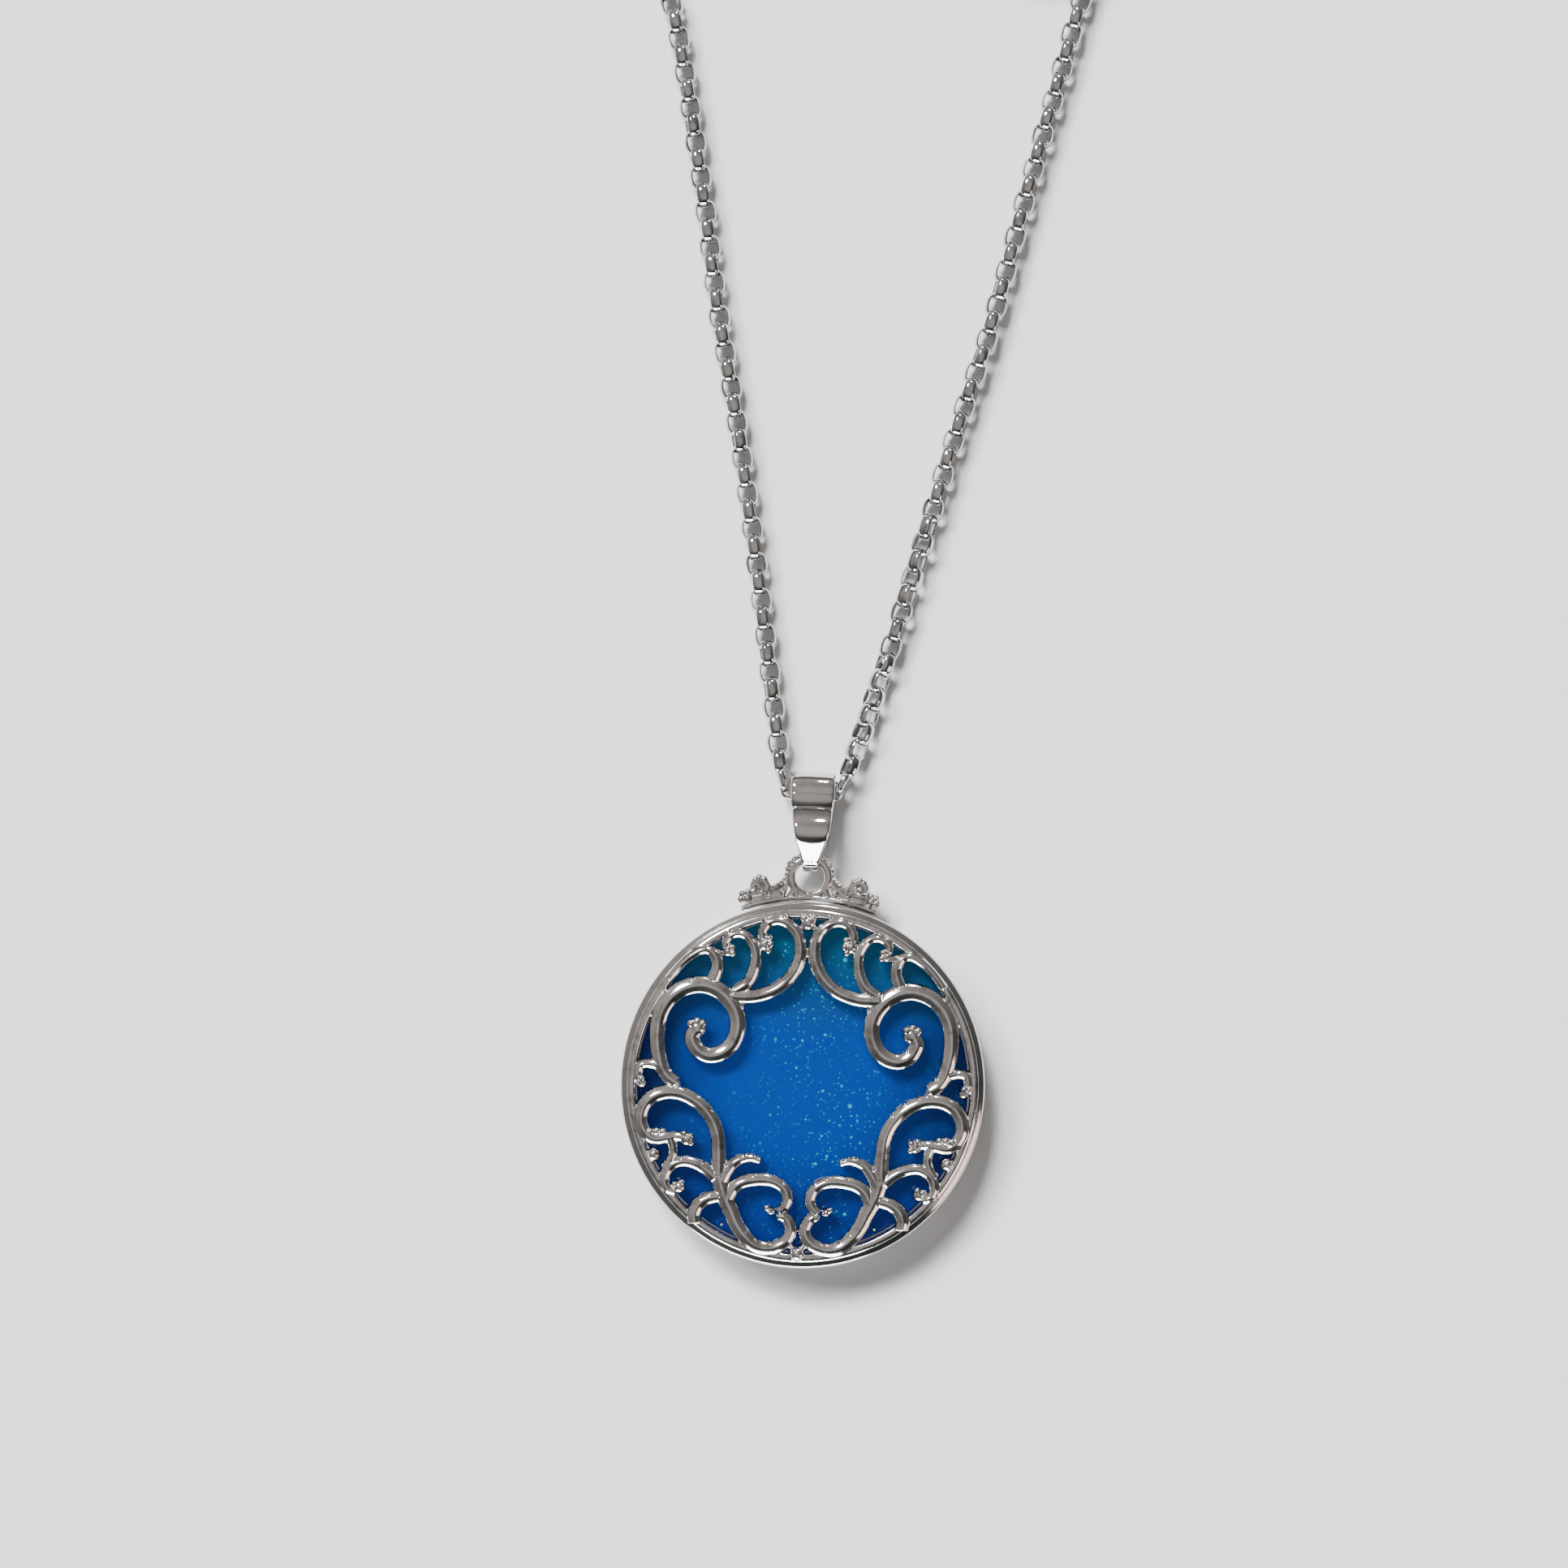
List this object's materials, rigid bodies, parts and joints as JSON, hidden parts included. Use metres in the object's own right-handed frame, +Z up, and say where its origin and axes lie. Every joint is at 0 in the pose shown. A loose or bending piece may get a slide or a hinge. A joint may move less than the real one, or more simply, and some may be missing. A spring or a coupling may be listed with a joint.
{
  "type": "pendant necklace",
  "caption": "Round blue inlaid pendant with an open scrolled silver front, hung by a folded bail on a fine belcher chain that closes with a lobster clasp.",
  "frame": {"origin": "centre of the pendant case's flat back", "axes": "+Z up out of the pendant's front, +Y from the pendant towards its bail, +X to the right as worn seen from the front"},
  "size_m": [0.0425, 0.1216, 0.0038],
  "materials": {
    "cast_silver": "polished cast silver with soft worn edges",
    "chain_silver": "bright faceted silver links",
    "clasp_silver": "polished silver findings",
    "blue_inlay": "deep blue opal resin with fine glitter under a glossy surface"
  },
  "bodies": {
    "chain": {"bail_link_1": "chain_silver", "bail_link_2": "chain_silver", "bail_link_3": "chain_silver", "bail_link_4": "chain_silver", "bail_link_5": "chain_silver", "chain_left_run": "chain_silver", "chain_left_coil": "chain_silver", "chain_left_tail": "chain_silver", "left_end_link": "chain_silver", "chain_right_run": "chain_silver", "chain_right_coil": "chain_silver", "chain_right_tail": "chain_silver", "right_end_link": "chain_silver"},
    "bail": {"bail": "cast_silver"},
    "pendant": {"case_cup": "cast_silver", "inlay_disc": "blue_inlay", "filigree_front": "cast_silver", "hanger_loop": "cast_silver"},
    "clasp_ring": {"clasp_jump_ring": "chain_silver"},
    "clasp": {"clasp_body": "clasp_silver", "clasp_rivet": "clasp_silver", "clasp_spring": "clasp_silver"},
    "lever": {"clasp_lever": "clasp_silver"},
    "end_ring": {"end_ring": "chain_silver"}
  },
  "joints": [
    {"name": "bail_swing", "type": "hinge", "parent": "chain", "child": "bail", "pos_m": [0, 0.0203, 0.0013], "axis": [-1, 0, 0], "range_deg": [0, 100]},
    {"name": "pendant_swing", "type": "hinge", "parent": "bail", "child": "pendant", "pos_m": [0, 0.01559, 0.0015], "axis": [-1, 0, 0], "range_deg": [0, 80]},
    {"name": "clasp_ring_swivel", "type": "hinge", "parent": "chain", "child": "clasp_ring", "pos_m": [-0.0173, 0.09876, 0.00077], "axis": [0, 0, 1], "range_deg": [-20, 20]},
    {"name": "clasp_swivel", "type": "hinge", "parent": "clasp_ring", "child": "clasp", "pos_m": [-0.0173, 0.10113, 0.0011], "axis": [0, 0, 1], "range_deg": [-25, 25]},
    {"name": "lever_press", "type": "hinge", "parent": "clasp", "child": "lever", "pos_m": [-0.01655, 0.10376, 0.0011], "axis": [0, 0, 1], "range_deg": [0, 28], "stiffness_Nm_per_rad": 0.004, "springref_deg": -11.46},
    {"name": "end_ring_swivel", "type": "hinge", "parent": "chain", "child": "end_ring", "pos_m": [0.0223, 0.09848, 0.00077], "axis": [0, 0, 1], "range_deg": [-20, 20]}
  ]
}
